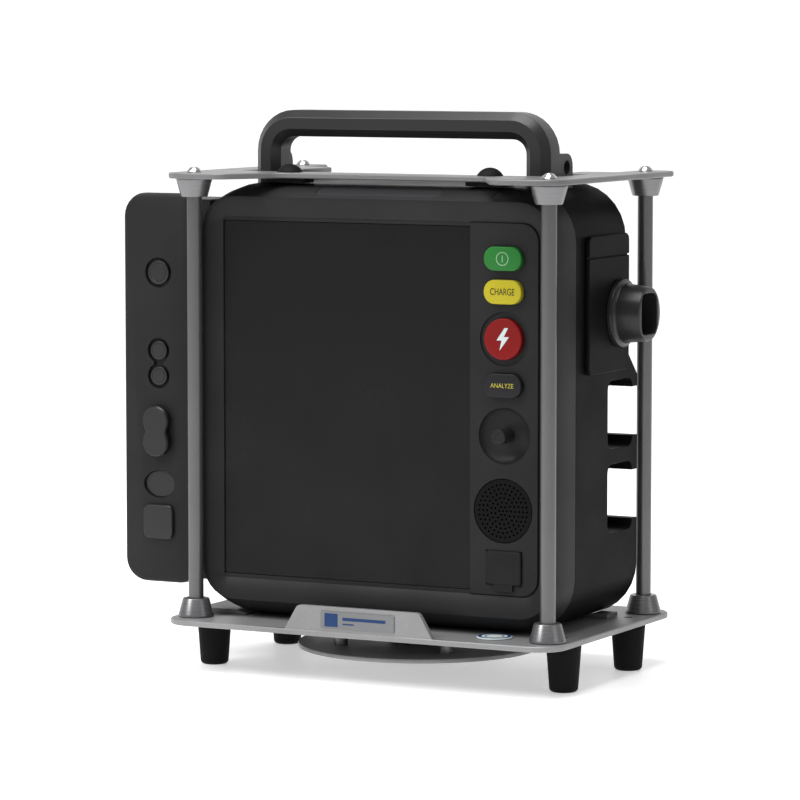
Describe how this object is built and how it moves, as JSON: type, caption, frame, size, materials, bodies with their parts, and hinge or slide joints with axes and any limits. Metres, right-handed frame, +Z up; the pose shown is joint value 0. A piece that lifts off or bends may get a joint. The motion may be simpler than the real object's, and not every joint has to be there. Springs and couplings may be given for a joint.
{
  "type": "portable patient monitor",
  "caption": "Upright patient monitor and defibrillator with key strip, handle and side module, held between plates on round posts, with rubber feet and a swivel disc.",
  "frame": {"origin": "centre of the whole object's footprint, on the surface its feet stand on", "axes": "+Z up, display and keys face -Y, therapy connector on the +X side, parameter module on the -X side"},
  "size_m": [0.3804, 0.212, 0.402],
  "materials": {
    "anodised_aluminium": "satin anodised",
    "anodised_tube": "satin anodised, darker",
    "polished_steel": "polished stainless steel",
    "black_rubber": "matt moulded rubber",
    "moulded_black": "fine moulded texture",
    "dark_glass": "dark anti-glare cover",
    "smoked_lens": "smoked lamp window",
    "green_key": "green key",
    "yellow_key": "yellow key",
    "red_key": "red key",
    "black_key": "dark key with yellow lettering",
    "label_film": "blank printed label",
    "frame_steel": "zinc-plated panel frame",
    "board": "circuit board laminate",
    "sleeve": "capacitor sleeve"
  },
  "bodies": {
    "main": {"base_plate": "anodised_aluminium", "top_plate": "anodised_aluminium", "cradle_block_left": "anodised_aluminium", "cradle_block_right": "anodised_aluminium", "swivel_hub": "anodised_aluminium", "post_front_left": "anodised_tube", "upper_collar_front_left": "anodised_tube", "lower_collar_front_left": "anodised_tube", "top_screw_front_left": "polished_steel", "foot_front_left": "black_rubber", "post_front_right": "anodised_tube", "upper_collar_front_right": "anodised_tube", "lower_collar_front_right": "anodised_tube", "top_screw_front_right": "polished_steel", "foot_front_right": "black_rubber", "post_rear_left": "anodised_tube", "upper_collar_rear_left": "anodised_tube", "lower_collar_rear_left": "anodised_tube", "top_screw_rear_left": "polished_steel", "foot_rear_left": "black_rubber", "post_rear_right": "anodised_tube", "upper_collar_rear_right": "anodised_tube", "lower_collar_rear_right": "anodised_tube", "top_screw_rear_right": "polished_steel", "foot_rear_right": "black_rubber", "bumper_cap_left": "black_rubber", "bumper_cap_right": "black_rubber", "bumper_pad_left": "black_rubber", "bumper_pad_right": "black_rubber", "name_label": "label_film", "round_emblem": "label_film", "front_housing": "moulded_black", "rear_housing": "moulded_black", "carry_handle": "moulded_black", "control_panel": "moulded_black", "speaker_grille": "moulded_black", "speaker_driver": "moulded_black", "side_cover": "moulded_black", "connector_shell": "moulded_black", "side_module": "moulded_black", "round_socket": "moulded_black", "twin_socket": "moulded_black", "peanut_connector": "moulded_black", "oval_socket": "moulded_black", "square_cap": "moulded_black", "alarm_light": "smoked_lens", "status_light": "smoked_lens", "display_glass": "dark_glass", "screen_panel": "frame_steel", "main_board": "board", "capacitor": "sleeve"},
    "power_key": {"power_button": "green_key"},
    "charge_key": {"charge_button": "yellow_key"},
    "shock_key": {"shock_button": "red_key"},
    "analyze_key": {"analyze_button": "black_key"},
    "encoder": {"encoder_shaft": "polished_steel"},
    "knob": {"knob_cap": "moulded_black"},
    "service_flap": {"service_cover": "black_rubber"},
    "adapter_disc": {"swivel_disc": "anodised_aluminium"},
    "battery": {"battery_pack": "moulded_black"}
  },
  "joints": [
    {"name": "power_press", "type": "slide", "parent": "main", "child": "power_key", "axis": [0, 1, 0], "range_m": [0, 0.0015], "stiffness_N_per_m": 1000},
    {"name": "charge_press", "type": "slide", "parent": "main", "child": "charge_key", "axis": [0, 1, 0], "range_m": [0, 0.0015], "stiffness_N_per_m": 1000},
    {"name": "shock_press", "type": "slide", "parent": "main", "child": "shock_key", "axis": [0, 1, 0], "range_m": [0, 0.0015], "stiffness_N_per_m": 1000},
    {"name": "analyze_press", "type": "slide", "parent": "main", "child": "analyze_key", "axis": [0, 1, 0], "range_m": [0, 0.0015], "stiffness_N_per_m": 1000},
    {"name": "knob_press", "type": "slide", "parent": "main", "child": "encoder", "axis": [0, 1, 0], "range_m": [0, 0.0012], "stiffness_N_per_m": 1500},
    {"name": "knob_turn", "type": "hinge", "parent": "encoder", "child": "knob", "pos_m": [0.1231, -0.0782, 0.1785], "axis": [0, -1, 0], "continuous": true},
    {"name": "flap_swing", "type": "hinge", "parent": "main", "child": "service_flap", "pos_m": [0.1231, -0.0707, 0.0965], "axis": [-1, 0, 0], "range_deg": [0, 100]},
    {"name": "disc_swivel", "type": "hinge", "parent": "main", "child": "adapter_disc", "pos_m": [0.0221, 0, 0.0172], "axis": [0, 0, 1], "continuous": true},
    {"name": "battery_slide", "type": "slide", "parent": "main", "child": "battery", "axis": [0, 1, 0], "range_m": [0, 0.07]}
  ]
}
